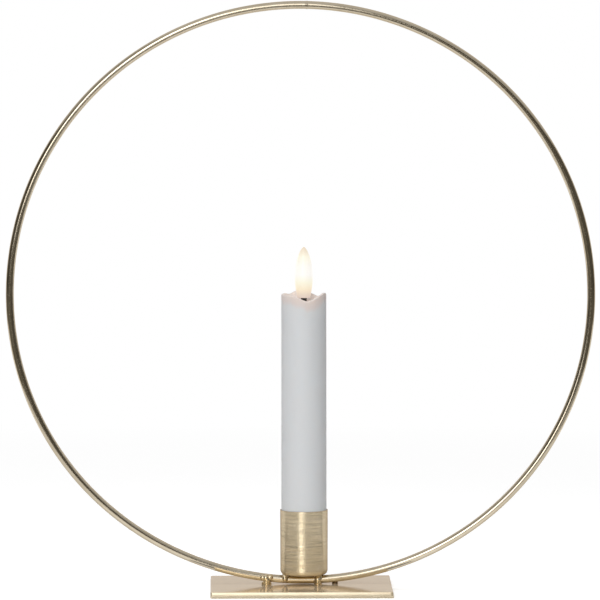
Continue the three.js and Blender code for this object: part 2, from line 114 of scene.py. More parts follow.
# Wax, with heights counted from the bottom of its sleeve
WAX_RADIUS = 11.15  # at the bottom
RIM_RADIUS = 11.05
WAX_BORE = 9.6
WAX_CROWN_BOTTOM = 124.5
CRATER_FLOOR = 130.5
RIM_HEIGHT = 135.1
CRATER_FLOOR_RADIUS = 3.4
RIM_THICKNESS = 1.3
RIM_ROUNDING = 0.7
RIM_ROUNDING_TURN = 115  # from the outer wall over the top
RIM_ROUNDING_STEPS = 7
CRATER_EDGE_INSET = 0.1
CRATER_EDGE_DROP = 0.5
CRATER_STEPS = 10
CRATER_SAG = 0.7  # power of the crater's slope, which is hollow below 1
STEM_HOLE_RADIUS = 1.75
WAX_SIDES = 144
WAX_WALL_STEPS = 60
WAX_UNEVENNESS = 0.05
WAX_LUMP_SIZE = 7
WAX_LUMP_SQUEEZE = 0.35  # of heights, which makes the lumps tall
WAX_LUMP_RADIUS = 11  # radius at which the lumps' noise is read
# The lamp's glow through the wax is painted into its base colour, down to this depth below the rim
WAX_GLOW_DEPTH = 9  # the lamp warms the wax down to here below the rim
WAX_GLOW_WAVER = 1.2  # how far that depth wavers
RIM_UNEVENNESS = 0.12
RIM_NOISE_RADIUS = 2.2  # of the circle along which the rim's noise is read
# The rim's dips and peaks: compass angle in degrees, height, half width in degrees
RIM_BUMPS = [(-81, -2.9, 26), (-20, 0.8, 18), (48, -1.6, 17), (108, 0.9, 12), (134, -0.5, 12)]

# Flame lens
FLAME_WIDTH = 8.8
FLAME_HEIGHT = 25
FLAME_WIDEST_HEIGHT = 9.8
FLAME_BASE_WIDTH = 6.2
FLAME_TIP_POWER = 0.655
FLAME_TAPER_POWER = 1.8
FLAME_STEPS = 28
FLAME_SIDES = 72
LENS_WALL = 0.9
FLAME_GLOW = 0.78
LAMP_GLOW = 0.8

# Weld beads as clusters of blobs: place in the bead's box (-1 to 1 along x, y, z) and radius
WELDS = {
    "ring_weld_left": [
        (-0.6, -0.2, 0.5, 1.45), (-0.1, -0.35, 0.45, 1.7), (0.6, -0.2, 0.55, 1.5), (0.05, -0.3, 0.0, 1.75),
        (0.0, -0.2, -0.5, 1.75), (0.0, 0.0, -0.95, 1.9), (-0.5, 0.1, -1.0, 1.0), (0.5, 0.1, -1.0, 1.0),
    ],
    "ring_weld_right": [
        (-0.3, 0.0, 0.4, 1.5), (0.3, 0.1, 0.4, 1.5), (0.0, 0.0, -0.4, 1.6), (0.0, 0.1, -0.9, 1.5),
    ],
    "cup_weld_left": [
        (-0.2, -0.1, 0.6, 1.3), (0.3, 0.0, 0.5, 1.3), (0.0, -0.3, -0.2, 1.45), (0.1, -0.2, -0.6, 1.15),
    ],
    "cup_weld_right": [
        (-0.2, 0.0, 0.7, 1.5), (0.25, -0.1, 0.6, 1.5), (0.0, -0.35, 0.1, 1.75), (0.0, -0.25, -0.4, 1.7),
        (0.0, 0.0, -0.9, 1.8), (-0.4, 0.1, -1.0, 1.1), (0.4, 0.1, -1.0, 1.1),
    ],
}
# The bead behind the wire is darkened with painted shade from the wire in front of it
SHADED_WELD = "ring_weld_right"
WELD_BALL_DETAIL = 3
WELD_VOXEL = 0.16
WELD_SMOOTHING = 14

# Edges of the inner pieces
EDGE_SOFTENING = 0.12
EDGE_SEGMENTS = 2

# Gold plating, as linear colours
GOLD_PALE = (0.69, 0.605, 0.465)
GOLD_DEEP = (0.62, 0.535, 0.395)
GOLD_EDGE = (0.72, 0.63, 0.51)  # at grazing angles
PLATE_PALE = (0.95, 0.82, 0.6)
PLATE_DEEP = (0.88, 0.74, 0.52)
PLATE_EDGE = (0.68, 0.56, 0.44)
PLATE_METALLIC = 0.5
SATIN_PALE = (0.83, 0.71, 0.51)
SATIN_DEEP = (0.76, 0.64, 0.44)
SATIN_EDGE = (0.45, 0.39, 0.32)
LINE_TINT = (0.8, 0.79, 0.77)  # share of the colour left in the cup's turning lines
# Dark gold for the bead behind the wire: painted shade
WELD_SHADE_PALE = (0.3, 0.23, 0.15)
WELD_SHADE_DEEP = (0.18, 0.13, 0.08)

# Studio, in metres
STUDIO_HEIGHT = 0.15
CARD_DISTANCE = 2.5
CARD_STEPS = 16
TABLE_CARD_HEIGHT = 0.00005
WARM_DARK = (1.0, 0.93, 0.78)
NEUTRAL = (1.0, 1.0, 1.0)
BACKDROP = (1.0, 0.97, 0.95)
AMBIENT = 0.26

# Floor, in metres
FLOOR_RADIUS = 0.9
FLOOR_SIDES = 64
FLOOR_DROP = 0.0001  # below the plate's underside
FLOOR_FADE = 0.35  # the floor runs into the white background from here outwards
FLOOR_WHITE_RIM = 0.05  # the last of the floor is as white as the background
FLOOR_LIFT = 0.45  # added so that the lit floor is white


# Mesh tools

def new_piece(name, points, faces, body, slot, material, *replaced):
    """A mesh piece from points in millimetres. It rides on a body and stands for the named nodes."""
    mesh = bpy.data.meshes.new(name)
    mesh.from_pydata([Vector(point) * MM for point in points], [], faces)
    mesh.validate()
    return dress(bpy.data.objects.new(name, mesh), body, slot, material, *replaced)


def dress(shape, body, slot, material, *replaced):
    bpy.context.scene.collection.objects.link(shape)
    shape.data.shade_smooth()
    shape.data.materials.append(material)
    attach(shape, body)
    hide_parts(*replaced)
    return shape


def skin(sections, closed_along=True):
    """Faces that join closed sections, each with the same number of points."""
    count = len(sections[0])
    rows = len(sections) if closed_along else len(sections) - 1
    faces = []
    for row in range(rows):
        here = row * count
        after = (row + 1) % len(sections) * count
        for side in range(count):
            turn = (side + 1) % count
            faces.append((here + side, here + turn, after + turn, after + side))
    return [point for section in sections for point in section], faces


def turned(profile, sides, x, bottom):
    """Turns a profile of (radius, height) about an upright axis. The profile's ends lie on the axis."""
    points = [(x, 0, bottom + profile[0][1])]
    for radius, height in profile[1:-1]:
        for side in range(sides):
            angle = math.tau * side / sides
            points.append((x + radius * math.cos(angle), radius * math.sin(angle), bottom + height))
    points.append((x, 0, bottom + profile[-1][1]))
    last = len(points) - 1
    faces = []
    for side in range(sides):
        turn = (side + 1) % sides
        faces.append((0, 1 + turn, 1 + side))
        faces.append((last, last - sides + side, last - sides + turn))
        for row in range(len(profile) - 3):
            here = 1 + row * sides
            faces.append((here + side, here + turn, here + sides + turn, here + sides + side))
    return points, faces


def arc(radius, height, size, start, end, steps):
    """Points of an arc in a profile. Angles in degrees."""
    angles = [math.radians(start + (end - start) * step / steps) for step in range(steps + 1)]
    return [(radius + size * math.cos(angle), height + size * math.sin(angle)) for angle in angles]


def blend(low, high, share):
    return low + (high - low) * share


def box_mm(node):
    low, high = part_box(node)
    return low / MM, high / MM


# Material tools

def new_material(name, **values):
    """A material, its node tree and its shader, with fixed values set on the shader's sockets."""
    material = bpy.data.materials.new(name)
    material.use_nodes = True
    tree = material.node_tree
    shader = tree.nodes["Principled BSDF"]
    for socket, value in values.items():
        shader.inputs[socket.replace("_", " ")].default_value = value
    return material, tree, shader


def add(tree, kind, inputs=None, **settings):
    """Adds a node. An input is a value, or another node's output to link from."""
    node = tree.nodes.new(kind)
    for name, value in settings.items():
        setattr(node, name, value)
    for socket, value in (inputs or {}).items():
        if isinstance(value, bpy.types.NodeSocket):
            tree.links.new(value, node.inputs[socket])
        else:
            node.inputs[socket].default_value = value
    return node


def place(tree, x=1.0, y=1.0, z=1.0):
    """Object coordinates in millimetres, squeezed by a factor along each axis."""
    coordinates = add(tree, "ShaderNodeTexCoord").outputs["Object"]
    scale = (x / MM, y / MM, z / MM)
    return add(tree, "ShaderNodeMapping", {"Vector": coordinates, "Scale": scale}).outputs["Vector"]


def speckle(tree, vector, scale, detail):
    """Cloudy noise around 0.5."""
    inputs = {"Vector": vector, "Scale": scale, "Detail": detail}
    return add(tree, "ShaderNodeTexNoise", inputs).outputs["Fac"]


def ramp(tree, value, *stops):
    """Maps a value to colours. Each stop is (position, colour)."""
    node = add(tree, "ShaderNodeValToRGB", {"Fac": value})
    elements = node.color_ramp.elements
    while len(elements) < len(stops):
        elements.new(1.0)
    for element, (position, colour) in zip(elements, stops):
        element.position = position
        element.color = (*colour, 1)
    return node.outputs["Color"]


def spread(tree, value, low, high, start=0.3, end=0.7):
    """Maps a value from a start-to-end range to a low-to-high range."""
    inputs = {"Value": value, "From Min": start, "From Max": end, "To Min": low, "To Max": high}
    return add(tree, "ShaderNodeMapRange", inputs).outputs["Result"]


def bump(tree, shader, *layers):
    """Layers of relief. Each is (height, depth in millimetres)."""
    normal = None
    for height, depth in layers:
        inputs = {"Height": height, "Distance": depth * MM, "Strength": 1.0}
        if normal is not None:
            inputs["Normal"] = normal
        normal = add(tree, "ShaderNodeBump", inputs).outputs["Normal"]
    tree.links.new(normal, shader.inputs["Normal"])


def join(tree, shader, **outputs):
    for socket, output in outputs.items():
        tree.links.new(output, shader.inputs[socket.replace("_", " ")])


# Gold finishes

def gold(name, stretch, smoothest, roughest, deep=GOLD_DEEP, pale=GOLD_PALE):
    """Plated metal with patchy tone and gloss. The grain is stretched along an axis."""
    material, tree, shader = new_material(name, Metallic=1.0, Specular_Tint=(*GOLD_EDGE, 1))
    patches = speckle(tree, place(tree), scale=0.18, detail=4.0)
    grain = speckle(tree, place(tree, *stretch), scale=1.0, detail=3.0)
    colour = ramp(tree, patches, (0.3, deep), (0.7, pale))
    join(tree, shader, Base_Color=colour, Roughness=spread(tree, grain, smoothest, roughest))
    return material, tree, shader, grain


def wire_finish():
    material, tree, shader, grain = gold(
        "gold_wire", stretch=(2.2, 2.2, 2.2), smoothest=0.07, roughest=0.16
    )
    pits = speckle(tree, place(tree), scale=3.5, detail=2.0)
    bump(tree, shader, (grain, 0.012), (pits, 0.006))
    return material


def plate_finish():
    material, tree, shader, grain = gold(
        "gold_plate", stretch=(0.12, 5, 5), smoothest=0.07, roughest=0.16, deep=PLATE_DEEP, pale=PLATE_PALE
    )
    shader.inputs["Metallic"].default_value = PLATE_METALLIC
    shader.inputs["Specular Tint"].default_value = (*PLATE_EDGE, 1)
    sway = speckle(tree, place(tree), scale=0.09, detail=2.0)
    bump(tree, shader, (sway, 0.01), (grain, 0.0015))
    return material


def cup_finish():
    """Satin gold with darker turning lines.

    Fine brushing round the cup tilts the surface up and down and smears reflections.
    """
    material, tree, shader, grain = gold(
        "gold_cup", stretch=(0.1, 0.1, 3), smoothest=0.19, roughest=0.25, deep=SATIN_DEEP, pale=SATIN_PALE
    )
    shader.inputs["Metallic"].default_value = CUP_METALLIC
    shader.inputs["Specular Tint"].default_value = (*SATIN_EDGE, 1)
    fine = speckle(tree, place(tree, 0.05, 0.05, 40), scale=1.0, detail=2.0)
    marks = speckle(tree, place(tree, 0.03, 0.03, 1.6), scale=1.0, detail=3.0)
    tilt = spread(tree, fine, -BRUSH_TILT, BRUSH_TILT)
    lean = spread(tree, marks, -MARK_TILT, MARK_TILT)
    upright = add(tree, "ShaderNodeMath", {0: tilt, 1: lean}, operation="ADD").outputs["Value"]
    push = add(tree, "ShaderNodeCombineXYZ", {"Z": upright}).outputs["Vector"]
    facing = add(tree, "ShaderNodeNewGeometry").outputs["Normal"]
    tilted = add(tree, "ShaderNodeVectorMath", {0: facing, 1: push}, operation="ADD").outputs["Vector"]
    normal = add(tree, "ShaderNodeVectorMath", {0: tilted}, operation="NORMALIZE").outputs["Vector"]
    lines = speckle(tree, place(tree, 0.05, 0.05, 2.4), scale=1.0, detail=2.0)
    scored = ramp(tree, lines, (0.6, (1, 1, 1)), (0.66, LINE_TINT))
    plain = shader.inputs["Base Color"].links[0].from_socket
    lined = add(tree, "ShaderNodeVectorMath", {0: plain, 1: scored}, operation="MULTIPLY").outputs["Vector"]
    join(tree, shader, Normal=normal, Base_Color=lined)
    return material


def weld_finish(name, deep, pale):
    material, tree, shader, grain = gold(
        name, stretch=(1.2, 1.2, 1.2), smoothest=0.22, roughest=0.38, deep=deep, pale=pale
    )
    ripples = speckle(tree, place(tree), scale=1.6, detail=4.0)
    bump(tree, shader, (ripples, 0.07), (grain, 0.03))
    return material


# Candle finishes

def wax_finish():
    """Grey-white wax with the lamp's glow through it painted in as a warm colour below the rim."""
    values = {"Subsurface_Weight": 0.25, "Subsurface_Scale": 0.004, "Subsurface_Radius": (1.0, 0.8, 0.7)}
    material, tree, shader = new_material("wax", Coat_Weight=0.08, Coat_Roughness=0.35, **values)
    depth = add(tree, "ShaderNodeAttribute", attribute_name="below_rim").outputs["Fac"]
    clouds = speckle(tree, place(tree, 1, 1, 0.25), scale=0.22, detail=4.0)
    waver = spread(tree, clouds, -WAX_GLOW_WAVER, WAX_GLOW_WAVER)
    uneven = add(tree, "ShaderNodeMath", {0: depth, 1: waver}, operation="ADD").outputs["Value"]
    share = spread(tree, uneven, 0.0, 1.0, 0.0, WAX_GLOW_DEPTH)
    # Painted glow: the lamp's light through the wax, as a pinkish colour under the rim that fades to plain
    # grey lower down
    warm = ramp(
        tree, share,
        (0.0, (0.80, 0.70, 0.65)), (0.35, (0.77, 0.70, 0.67)),
        (0.62, (0.74, 0.745, 0.75)), (1.0, (0.735, 0.745, 0.757)),
    )
    streaks = speckle(tree, place(tree, 0.8, 0.8, 0.05), scale=1.0, detail=3.0)
    join(tree, shader, Base_Color=warm, Roughness=spread(tree, streaks, 0.42, 0.6))
    pores = speckle(tree, place(tree), scale=1.8, detail=3.0)
    bump(tree, shader, (clouds, 0.08), (pores, 0.02))
    return material


def flame_finish(low, high):
    """A frosted lens, lit from inside: white at the lamp, warm at the base and the tip."""
    material, tree, shader = new_material("flame", Emission_Strength=FLAME_GLOW, Coat_Weight=0.1)
    coordinates = add(tree, "ShaderNodeTexCoord").outputs["Object"]
    height = add(tree, "ShaderNodeSeparateXYZ", {"Vector": coordinates}).outputs["Z"]
    share = spread(tree, height, 0.0, 1.0, low * MM, high * MM)
    glow = ramp(
        tree, share,
        (0.0, (0.66, 0.52, 0.47)), (0.18, (0.96, 0.82, 0.59)), (0.32, (0.97, 0.94, 0.77)),
        (0.46, (1.0, 0.99, 0.97)), (0.62, (1.0, 0.98, 0.94)), (0.8, (0.98, 0.94, 0.78)),
        (1.0, (0.74, 0.58, 0.42)),
    )
    frost = speckle(tree, place(tree), scale=2.5, detail=3.0)
    haze = ramp(tree, frost, (0.3, (0.25, 0.23, 0.19)), (0.7, (0.3, 0.28, 0.24)))
    join(tree, shader, Base_Color=haze, Emission_Color=glow, Roughness=spread(tree, frost, 0.35, 0.5))
    bump(tree, shader, (frost, 0.01))
    return material


def moulded(name, dark, pale, smoothest, roughest):
    """Moulded plastic with a fine spark-eroded grain."""
    material, tree, shader = new_material(name)
    coarse = speckle(tree, place(tree), scale=0.35, detail=4.0)
    fine = speckle(tree, place(tree), scale=3.0, detail=2.0)
    join(tree, shader, Base_Color=ramp(tree, coarse, (0.3, dark), (0.7, pale)))
    join(tree, shader, Roughness=spread(tree, fine, smoothest, roughest))
    bump(tree, shader, (fine, 0.02))
    return material


def lamp_finish():
    material, tree, shader = new_material("lamp_resin", Emission_Strength=LAMP_GLOW, Coat_Weight=0.3)
    cloud = speckle(tree, place(tree), scale=0.8, detail=2.0)
    glow = ramp(tree, cloud, (0.3, (1.0, 0.78, 0.42)), (0.7, (1.0, 0.9, 0.6)))
    join(tree, shader, Base_Color=glow, Emission_Color=glow, Roughness=spread(tree, cloud, 0.12, 0.22))
    return material


def board_finish():
    """Green circuit board with lighter copper runs under the lacquer."""
    material, tree, shader = new_material("board", Coat_Weight=0.3)
    runs = add(
        tree, "ShaderNodeTexWave", {"Vector": place(tree), "Scale": 0.5, "Distortion": 6.0, "Detail": 2.0}
    ).outputs["Fac"]
    colour = ramp(tree, runs, (0.45, (0.02, 0.11, 0.04)), (0.6, (0.06, 0.24, 0.09)))
    join(tree, shader, Base_Color=colour, Roughness=spread(tree, runs, 0.3, 0.45))
    bump(tree, shader, (runs, 0.04))
    return material


def contact_finish():
    material, tree, shader = new_material("contact_metal", Metallic=1.0)
    brushed = speckle(tree, place(tree, 0.4, 4, 0.4), scale=1.0, detail=3.0)
    colour = ramp(tree, brushed, (0.3, (0.58, 0.57, 0.54)), (0.7, (0.72, 0.71, 0.68)))
    join(tree, shader, Base_Color=colour, Roughness=spread(tree, brushed, 0.18, 0.34))
    bump(tree, shader, (brushed, 0.004))
    return material


def cell_finish():
    material, tree, shader = new_material("cell_jacket", Metallic=0.6)
    wrap = speckle(tree, place(tree, 1, 1, 0.1), scale=0.6, detail=3.0)
    colour = ramp(tree, wrap, (0.3, (0.24, 0.26, 0.28)), (0.7, (0.34, 0.36, 0.38)))
    join(tree, shader, Base_Color=colour, Roughness=spread(tree, wrap, 0.28, 0.42))
    bump(tree, shader, (wrap, 0.02))
    return material


# Holder pieces

def ring_reach(turn):
    """The wire axis's distance from the ring's middle, at an angle from the top towards the right."""
    lobes = [
        height * math.cos(count * (turn - math.radians(peak)))
        for count, height, peak in RING_LOBES
    ]
    return RING_RADIUS + sum(lobes)


LOWEST_AXIS = box_mm("base_plate")[1].z + RING_SEAT + WIRE_RADIUS  # height of the wire's axis on the plate
RING_MIDDLE = Vector((0, 0, LOWEST_AXIS + ring_reach(math.pi)))


def ring_section(turn, radius):
    """Points round the wire, at an angle from the ring's top towards the right."""
    outwards = Vector((math.sin(turn), 0, math.cos(turn)))
    middle = RING_MIDDLE + outwards * ring_reach(turn)
    points = []
    for side in range(WIRE_SIDES):
        angle = math.tau * side / WIRE_SIDES
        backwards = Vector((0, radius * math.sin(angle), 0))
        points.append(middle + outwards * radius * math.cos(angle) - backwards)
    return points


def ring(material):
    sections = []
    for step in range(WIRE_STEPS):
        turn = math.tau * step / WIRE_STEPS
        spot = Vector((math.sin(turn), math.cos(turn), 0)) * RING_RADIUS / WAVER_LENGTH
        sections.append(ring_section(turn, WIRE_RADIUS - WIRE_WAVER * abs(noise.noise(spot))))
    new_piece("ring", *skin(sections), "holder", "gold_plating", material, "ring_wire")


def ring_seam(material):
    """The butt weld, a low collar with a groove where the wire's ends meet."""
    def seam_section(share, radius):
        return ring_section((SEAM_PLACE + share * SEAM_LENGTH / 2) / RING_RADIUS, radius)

    sections = []
    for step in range(SEAM_STEPS + 1):
        share = 2 * step / SEAM_STEPS - 1
        groove = blend(SEAM_GROOVE_HEIGHT, 1, min(1, abs(share) / SEAM_GROOVE_WIDTH))
        swell = SEAM_BULGE * (1 - share ** 2) * groove
        sections.append(seam_section(share, WIRE_RADIUS - SEAM_SINK + swell))
    inner = [seam_section(end, SEAM_BORE_RADIUS) for end in (1, -1)]
    new_piece("seam", *skin(sections + inner), "holder", "gold_plating", material, "ring_seam")


def plate_loop(low, high, inset, height):
    """The plate's outline at one height, drawn in by an inset. Guard points keep the sides flat."""
    radius = PLATE_CORNER - inset if inset < PLATE_CORNER else 0
    steps = range(PLATE_CORNER_STEPS + 1)
    points = []
    for corner in range(4):
        x = (high.x - PLATE_CORNER) if corner in (0, 3) else (low.x + PLATE_CORNER)
        y = (high.y - PLATE_CORNER) if corner in (0, 1) else (low.y + PLATE_CORNER)
        turns = [math.radians(90 * (corner + step / PLATE_CORNER_STEPS)) for step in steps]
        arc_points = [
            Vector((x + radius * math.cos(turn), y + radius * math.sin(turn), height))
            for turn in turns
        ]
        first = Vector((math.sin(turns[0]), -math.cos(turns[0]), 0)) * PLATE_GUARD
        last = Vector((-math.sin(turns[-1]), math.cos(turns[-1]), 0)) * PLATE_GUARD
        points += [arc_points[0] + first, *arc_points, arc_points[-1] + last]
    return points


def plate_profile(thickness):
    """The cut edge as (inset, height): rounded below, upright, leaning in, rounded above."""
    def rounding(inset, height, start):
        turns = [start + 90 * step / PLATE_ROUNDING_STEPS for step in range(PLATE_ROUNDING_STEPS + 1)]
        return [
            (inset + PLATE_ROUNDING * (1 - math.cos(math.radians(turn))),
             height + PLATE_ROUNDING * math.sin(math.radians(turn)))
            for turn in turns
        ]

    flat = PLATE_ROUNDING + PLATE_SHEAR + PLATE_FLAT_INSET
    lower = rounding(0, PLATE_ROUNDING, -90)
    upper = rounding(PLATE_SHEAR, thickness - PLATE_ROUNDING, 0)
    return [(flat, 0)] + lower + [(0, PLATE_SHEAR_HEIGHT)] + upper + [(flat, thickness)]


def plate(material):
    low, high = box_mm("base_plate")
    profile = plate_profile(high.z - low.z)
    loops = [plate_loop(low, high, inset, low.z + height) for inset, height in profile]
    points, faces = skin(loops, closed_along=False)
    count = len(loops[0])
    last = len(points) - count
    faces.append(tuple(range(count - 1, -1, -1)))
    faces.append(tuple(range(last, last + count)))
    new_piece("plate", points, faces, "holder", "gold_plating", material, "base_plate")


def read_noise(index, step, row):
    """A steady random value for a numbered item, from about -1 to 1."""
    return noise.noise(Vector((index * step, row, 0)))


def cup_wall(base, rim, height):
    """The cup's outside from the corner to the lip, with fine turned grooves at uneven heights."""
    def radius_at(z):
        return blend(base, rim, (z - CUP_CORNER) / (height - CUP_CORNER))

    points = []
    pitch = (GROOVE_HIGHEST - GROOVE_LOWEST) / GROOVE_COUNT
    for groove in range(GROOVE_COUNT):
        shift = GROOVE_SHIFT * read_noise(groove, *GROOVE_PLACE_NOISE)
        depth = GROOVE_DEPTH * blend(GROOVE_SHALLOWEST, 1, abs(read_noise(groove, *GROOVE_DEPTH_NOISE)))
        z = GROOVE_LOWEST + pitch * (groove + 0.5 + shift)
        points.append((radius_at(z), z - GROOVE_HALF_WIDTH))
        points.append((radius_at(z) - depth, z))
        points.append((radius_at(z), z + GROOVE_HALF_WIDTH))
    return points


def cup(material):
    low, high = box_mm("candle_cup")
    height = high.z - low.z
    rim = (high.x - low.x) / 2
    base = rim - CUP_DRAFT
    lip = CUP_WALL / 2
    inner_corner = CUP_CORNER - CUP_WALL
    profile = [(0, 0)]
    profile += arc(base - CUP_CORNER, CUP_CORNER, CUP_CORNER, -90, 0, CUP_CORNER_STEPS)
    profile += cup_wall(base, rim, height)
    profile += arc(rim - lip, height - lip, lip, 0, 180, CUP_LIP_STEPS)
    profile += arc(base - CUP_CORNER, CUP_CORNER, inner_corner, 0, -90, CUP_CORNER_STEPS)
    profile += [(0, CUP_WALL)]
    middle = (low.x + high.x) / 2
    points, faces = turned(profile, CUP_SIDES, middle, low.z)
    new_piece("cup", points, faces, "holder", "gold_plating", material, "candle_cup")


def weld(name, blobs, material):
    """Blobs of metal melted into one bead."""
    low, high = box_mm(name)
    middle = (low + high) / 2
    half = (high - low) / 2
    cluster = bmesh.new()
    for x, y, z, radius in blobs:
        spot = Vector((middle.x + x * half.x, middle.y + y * half.y, middle.z + z * half.z))
        ball = bmesh.ops.create_icosphere(cluster, subdivisions=WELD_BALL_DETAIL, radius=radius * MM)
        bmesh.ops.translate(cluster, verts=ball["verts"], vec=spot * MM)
    mesh = bpy.data.meshes.new(name)
    cluster.to_mesh(mesh)
    cluster.free()
    rough = bpy.data.objects.new(name + "_rough", mesh)
    bpy.context.scene.collection.objects.link(rough)
    remesh = rough.modifiers.new("melt", "REMESH")
    remesh.mode = "VOXEL"
    remesh.voxel_size = WELD_VOXEL * MM
    smooth = rough.modifiers.new("flow", "SMOOTH")
    smooth.iterations = WELD_SMOOTHING
    bpy.context.view_layer.update()
    melted = bpy.data.meshes.new_from_object(rough.evaluated_get(bpy.context.evaluated_depsgraph_get()))
    bpy.data.objects.remove(rough)
    bead = bpy.data.objects.new(name.replace("weld", "bead"), melted)
    dress(bead, "holder", "gold_plating", material, name)


# Candle pieces

def rim_at(angle):
    """Height of the wax's rim at a compass angle."""
    height = RIM_HEIGHT
    for middle, rise, half_width in RIM_BUMPS:
        turn = (angle - middle + 180) % 360 - 180
        height += rise * math.exp(-((turn / half_width) ** 2))
    spot = Vector((math.cos(math.radians(angle)), math.sin(math.radians(angle)), 0)) * RIM_NOISE_RADIUS
    return height - RIM_UNEVENNESS * abs(noise.noise(spot))


def wax_section(angle):
    """The wax's section: outer wall, rounded rim, crater, stem hole and bore."""
    rim = rim_at(angle)
    shoulder = rim - RIM_ROUNDING
    inside = RIM_RADIUS - RIM_THICKNESS
    wall = []
    for step in range(WAX_WALL_STEPS):
        share = 1 - (1 - step / WAX_WALL_STEPS) ** 2
        wall.append((blend(WAX_RADIUS, RIM_RADIUS, share), shoulder * share))
    lip = arc(
        RIM_RADIUS - RIM_ROUNDING, shoulder, RIM_ROUNDING, 0, RIM_ROUNDING_TURN, RIM_ROUNDING_STEPS
    )
    slope = []
    for step in range(1, CRATER_STEPS + 1):
        share = step / CRATER_STEPS
        radius = blend(inside - CRATER_EDGE_INSET, CRATER_FLOOR_RADIUS, share)
        slope.append((radius, blend(rim - CRATER_EDGE_DROP, CRATER_FLOOR, share ** CRATER_SAG)))
    bore = [
        (STEM_HOLE_RADIUS, CRATER_FLOOR),
        (STEM_HOLE_RADIUS, WAX_CROWN_BOTTOM),
        (WAX_BORE, WAX_CROWN_BOTTOM),
        (WAX_BORE, 0),
    ]
    return wall + lip + slope + bore


def wax(material):
    low, high = box_mm("wax_shell")
    middle = (low.x + high.x) / 2
    sections = []
    depths = []
    for side in range(WAX_SIDES):
        angle = 360 * side / WAX_SIDES
        turn = math.radians(angle)
        rim = rim_at(angle)
        section = []
        for radius, height in wax_section(angle):
            across = math.cos(turn) * WAX_LUMP_RADIUS
            along = math.sin(turn) * WAX_LUMP_RADIUS
            spot = Vector((across, along, height * WAX_LUMP_SQUEEZE)) / WAX_LUMP_SIZE
            reach = radius - WAX_UNEVENNESS * abs(noise.noise(spot)) * (radius > WAX_BORE)
            section.append((middle + reach * math.cos(turn), reach * math.sin(turn), low.z + height))
            depths.append(rim - height if radius > WAX_BORE else 0.0)
        sections.append(section)
    points, faces = skin(sections)
    shell = new_piece("wax", points, [face[::-1] for face in faces], "candle", "wax", material, "wax_shell")
    attribute = shell.data.attributes.new("below_rim", "FLOAT", "POINT")
    attribute.data.foreach_set("value", depths)


def flame_outline(inset):
    """Half the flame's width from its base over its widest place to its tip, shrunk by an inset."""
    widest = FLAME_WIDTH / 2 - inset
    base = FLAME_BASE_WIDTH / 2 - inset
    tip_length = FLAME_HEIGHT - FLAME_WIDEST_HEIGHT - 2 * inset
    points = []
    for step in range(FLAME_STEPS):
        down = 1 - step / FLAME_STEPS
        radius = widest - (widest - base) * down ** FLAME_TAPER_POWER
        points.append((radius, inset + (FLAME_WIDEST_HEIGHT - inset) * (1 - down)))
    for step in range(FLAME_STEPS):
        up = math.sin(math.pi / 2 * step / FLAME_STEPS)
        points.append((widest * (1 - up ** 2) ** FLAME_TIP_POWER, FLAME_WIDEST_HEIGHT + tip_length * up))
    points.append((0, FLAME_WIDEST_HEIGHT + tip_length))
    return points


def flame():
    low, high = box_mm("flame_lens")
    profile = flame_outline(LENS_WALL)[::-1]
    profile += [(STEM_HOLE_RADIUS, LENS_WALL), (STEM_HOLE_RADIUS, 0)]
    profile += flame_outline(0)
    middle = (low.x + high.x) / 2
    points, faces = turned(profile, FLAME_SIDES, middle, low.z)
    new_piece("flame", points, faces, "candle", "flame", flame_finish(low.z, high.z), "flame_lens")


# Inner pieces and the cap keep their shape and get a finish and softened edges

def finish_nodes(material, *names):
    for name in names:
        node = nodes[name]
        node.data.materials.clear()
        node.data.materials.append(material)
        soften = node.modifiers.new("edges", "BEVEL")
        soften.width = EDGE_SOFTENING * MM
        soften.segments = EDGE_SEGMENTS
        soften.limit_method = "ANGLE"
        soften.harden_normals = True


# Studio

def direction(azimuth, elevation):
    """A unit vector. Azimuth 0 points at the viewer and grows to the right."""
    turn = math.radians(azimuth)
    rise = math.radians(elevation)
    return Vector((math.sin(turn) * math.cos(rise), -math.cos(turn) * math.cos(rise), math.sin(rise)))


def card(name, azimuths, elevations, strength, colour=NEUTRAL):
    """A studio card on a sphere round the object."""
    middle = Vector((0, 0, STUDIO_HEIGHT))
    heights = [blend(*elevations, row / CARD_STEPS) for row in range(CARD_STEPS + 1)]
    rows = [
        lambda turn, height=height: middle + direction(turn, height) * CARD_DISTANCE
        for height in heights
    ]
    hang(name, azimuths, rows, strength, colour)


def table_card(name, azimuths, distances, strength, colour=NEUTRAL):
    """A studio card that lies on the table."""
    lift = Vector((0, 0, TABLE_CARD_HEIGHT))
    rows = [
        lambda turn, distance=distance: lift + direction(turn, 0) * distance
        for distance in distances
    ]
    hang(name, azimuths, rows, strength, colour)


def hang(name, azimuths, rows, strength, colour):
    """A card that only reflections show. Each row gives a point for an azimuth."""
    points = []
    for point_at in rows:
        points += [point_at(blend(*azimuths, column / CARD_STEPS)) for column in range(CARD_STEPS + 1)]
    faces = []
    for row in range(len(rows) - 1):
        for column in range(CARD_STEPS):
            corner = row * (CARD_STEPS + 1) + column
            faces.append((corner, corner + 1, corner + CARD_STEPS + 2, corner + CARD_STEPS + 1))
    mesh = bpy.data.meshes.new(name)
    mesh.from_pydata(points, [], faces)
    mesh.materials.append(card_material(name, strength, colour))
    sheet = bpy.data.objects.new(name, mesh)
    bpy.context.scene.collection.objects.link(sheet)
    for ray in ("camera", "diffuse", "transmission", "volume_scatter", "shadow"):
        setattr(sheet, "visible_" + ray, False)


def card_material(name, strength, colour):
    material = bpy.data.materials.new(name)
    material.use_nodes = True
    material.cycles.emission_sampling = "NONE"
    tree = material.node_tree
    tree.nodes.clear()
    glow = add(tree, "ShaderNodeEmission", {"Color": (*colour, 1), "Strength": strength})
    output = add(tree, "ShaderNodeOutputMaterial")
    tree.links.new(glow.outputs["Emission"], output.inputs["Surface"])
    return material


